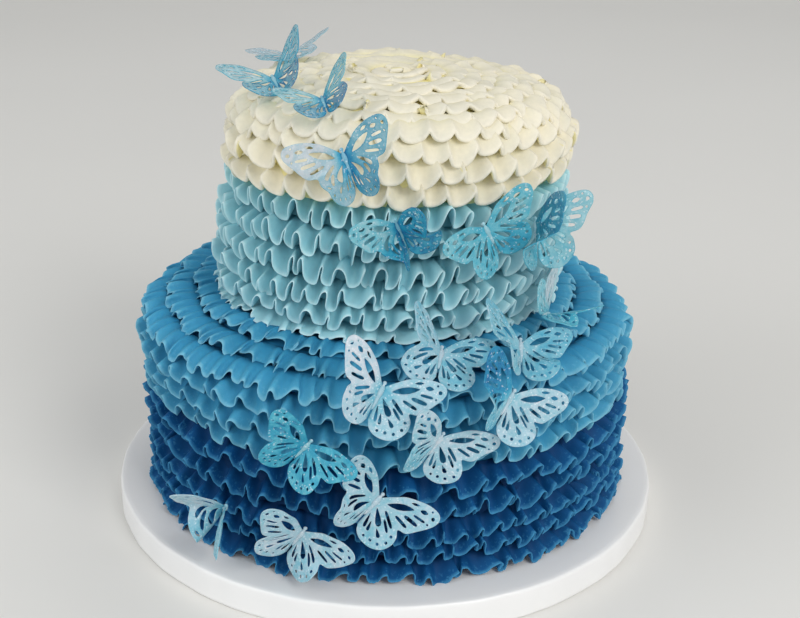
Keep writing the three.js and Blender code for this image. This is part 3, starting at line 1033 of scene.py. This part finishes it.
def pressed(verts):
    """The icing gives way under every wafer instead of standing up through it."""
    verts = verts.copy()
    rim = spline(OUTLINE, 3)
    centre = rim.mean(0)
    rim = centre + (rim - centre) * 1.04
    for number, (place, _, _, scale, _) in enumerate(POSES):
        rot = turn_of(number)
        near = np.nonzero(np.linalg.norm(verts - np.array(place), axis=1) < 29 * scale)[0]
        if not len(near):
            continue
        p = (verts[near] - np.array(place)) @ rot / scale
        for half, side in ((0, -1), (1, 1)):
            sx = p[:, 0] * side
            reach = np.hypot(sx, p[:, 2])
            mine = (sx > -0.8) & inside(np.stack([np.maximum(reach, 0.8), p[:, 1]], -1), rim)
            ang = np.arctan2(p[:, 2], sx)
            goal = wing_lift(number, half, reach, p[:, 1])
            over = (ang - goal) * reach
            hit = mine & (over > -2.4) & (over < 6.0)
            fresh = -2.4 + (over[hit] + 2.4) * (1.7 / 8.4)
            a = goal[hit] + fresh / np.maximum(reach[hit], 1.0)
            p[hit, 0] = side * reach[hit] * np.cos(a)
            p[hit, 2] = reach[hit] * np.sin(a)
        body = (np.abs(p[:, 0]) < 2.8) & (p[:, 1] < 7) & (p[:, 1] > -11) & (p[:, 2] > -2.6) & (p[:, 2] < 6)
        p[body, 2] = -2.6 + (p[body, 2] + 2.6) * 0.16
        verts[near] = (p * scale) @ rot.T + np.array(place)
    return verts


WAFERS = {
    "pale": wafer("wafer_pale", 0.45, 0.25, GREYED),
    "blue": wafer("wafer_blue", 0.5, 0.2, CYAN),
    "bright": wafer("wafer_bright_blue", 0.5, 0.15, CYAN),
}
for number in range(len(POSES)):
    o = butterfly(number)
    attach(o, "root")
    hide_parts(f"butterfly_{number + 1:02d}")

BANDS = (
    (deep_band, "lower_tier_deep_blue", "icing_deep_blue"),
    (mid_band, "lower_tier_mid_blue", "icing_mid_blue"),
    (teal_band, "upper_tier_teal", "icing_teal"),
    (cream_band, "upper_tier_cream", "icing_cream"),
)
for make, node, slot in BANDS:
    o = make()
    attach(o, "root")
    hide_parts(node)

# ---------------------------------------------------------------- the wrapped drum


def foil(name):
    """White satin paper-backed foil, pulled over the drum in small flats with faint creases."""
    m = Nodes(name)
    broad = m.noise(9.0, 3.0, 0.5)
    crease = m.noise(60.0, 4.0, 0.6, distortion=1.2)
    m.set("Base Color", m.ramp(broad, [(0.3, srgb(241, 241, 241)), (0.7, srgb(247, 247, 246))]))
    m.set("Roughness", m.range(crease, 0.3, 0.7, 0.30, 0.46))
    m.set("Specular IOR Level", 0.5)
    m.set("Coat Weight", 0.25)
    m.set("Coat Roughness", 0.25)
    m.set("Normal", m.bump(crease, 0.10, 0.0008))
    return m.mat


def drum():
    rng = np.random.default_rng(5)
    n = 480
    th = TAU * np.arange(n) / n
    # the wrap lies in short flats between creases
    marks = np.sort((np.arange(34) + rng.uniform(-0.3, 0.3, 34)) * TAU / 34)
    near = np.abs((th[:, None] - marks[None, :] + math.pi) % TAU - math.pi).min(1)
    flat = -0.42 * np.clip(near / (TAU / 68), 0, 1) ** 1.2
    prof = [
        (60, 0.0), (138.6, 0.0), (139.4, 0.25), (139.9, 0.9), (140, 1.8), (139.95, 5.5), (140, 9.5), (139.95, 13.0),
        (139.75, 14.1), (139.3, 14.75), (138.6, 14.98), (136.5, 15.0), (130.0, 15.0), (60, 15.0),
    ]
    side = np.array([0, 0.3, 0.8, 1, 1, 1, 1, 1, 0.9, 0.6, 0.35, 0.15, 0, 0])
    prof = np.array(prof, float)
    r = prof[None, :, 0] + flat[:, None] * side[None, :]
    z = prof[None, :, 1] + 0 * r
    z[:, 11] += 0.05 * np.sin(5 * th)
    p = np.stack([r * np.cos(th)[:, None], r * np.sin(th)[:, None], z], -1)
    nt = len(prof)
    v = np.concatenate([p.reshape(-1, 3), [[0, 0, 0.0], [0, 0, 15.0]]])
    i = np.arange(n)[:, None]
    j = np.arange(nt - 1)[None, :]
    a = i * nt + j
    b = ((i + 1) % n) * nt + j
    quads = np.stack([a, b, b + 1, a + 1], -1).reshape(-1, 4)
    i2 = np.arange(0, n, 2)
    n1, n2 = (i2 + 1) % n, (i2 + 2) % n
    lo, hi = n * nt, n * nt + 1
    cap_lo = np.stack([np.full(len(i2), lo), n2 * nt, n1 * nt, i2 * nt], -1)
    cap_hi = np.stack([np.full(len(i2), hi), i2 * nt + nt - 1, n1 * nt + nt - 1, n2 * nt + nt - 1], -1)
    return make_object("drum_wrapped", v, [np.concatenate([quads, cap_lo, cap_hi])], material=foil("foil"))


o = drum()
for poly in o.data.polygons:
    poly.use_smooth = True
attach(o, "root")
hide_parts("drum")

# ---------------------------------------------------------------- floor, light


def floor():
    """A pale floor that rises into a backdrop well behind the cake."""
    pts = [(-4.0, 0.0)] + [(1.6 + 1.4 * math.sin(a), 1.4 - 1.4 * math.cos(a)) for a in np.linspace(0, math.pi / 2, 16)]
    pts += [(3.0, 4.0)]
    verts, faces = [], []
    for x in (-6.0, 6.0):
        verts += [(x * 1000, y * 1000, z * 1000) for y, z in pts]
    n = len(pts)
    for k in range(n - 1):
        faces.append((k, n + k, n + k + 1, k + 1))
    m = Nodes("floor_paint")
    tint = m.ramp(m.noise(1.2, 2.0), [(0.3, srgb(229, 228, 224)), (0.7, srgb(233, 232, 228))])
    m.set("Base Color", tint)
    m.set("Roughness", 0.7)
    m.set("Specular IOR Level", 0.2)
    o = make_object("floor", verts, [np.array(faces)], material=m.mat)
    return o


floor()


def area_light(name, place, target, size, power, colour=(1, 1, 1)):
    d = bpy.data.lights.new(name, "AREA")
    d.shape = "RECTANGLE"
    d.size, d.size_y = size
    d.energy = power
    d.color = colour
    o = bpy.data.objects.new(name, d)
    scene.collection.objects.link(o)
    o.location = place
    o.rotation_euler = (Vector(target) - Vector(place)).to_track_quat("-Z", "Y").to_euler()
    return o


area_light("key", (1.15, -1.5, 1.45), (0, 0, 0.1), (1.0, 1.0), 21.5, (1.0, 0.985, 0.965))
area_light("front", (-0.1, -2.3, 0.55), (0, 0, 0.12), (1.1, 0.7), 3.0, (1.0, 0.995, 0.985))
area_light("fill", (-1.6, -1.0, 1.1), (0, 0, 0.1), (1.4, 1.2), 11.0, (0.97, 0.99, 1.0))
area_light("back", (0.4, 1.5, 1.8), (0, 0, 0.15), (1.2, 0.8), 4.0, (0.98, 0.99, 1.0))

world = bpy.data.worlds.new("studio")
scene.world = world
world.use_nodes = True
bg = world.node_tree.nodes["Background"]
bg.inputs[0].default_value = (0.97, 0.98, 1.0, 1.0)
bg.inputs[1].default_value = 0.52

scene.view_settings.view_transform = "Standard"
scene.view_settings.look = "None"
scene.view_settings.exposure = 0.0
scene.view_settings.gamma = 1.0

# ---------------------------------------------------------------- update the scene

bpy.context.view_layer.update()
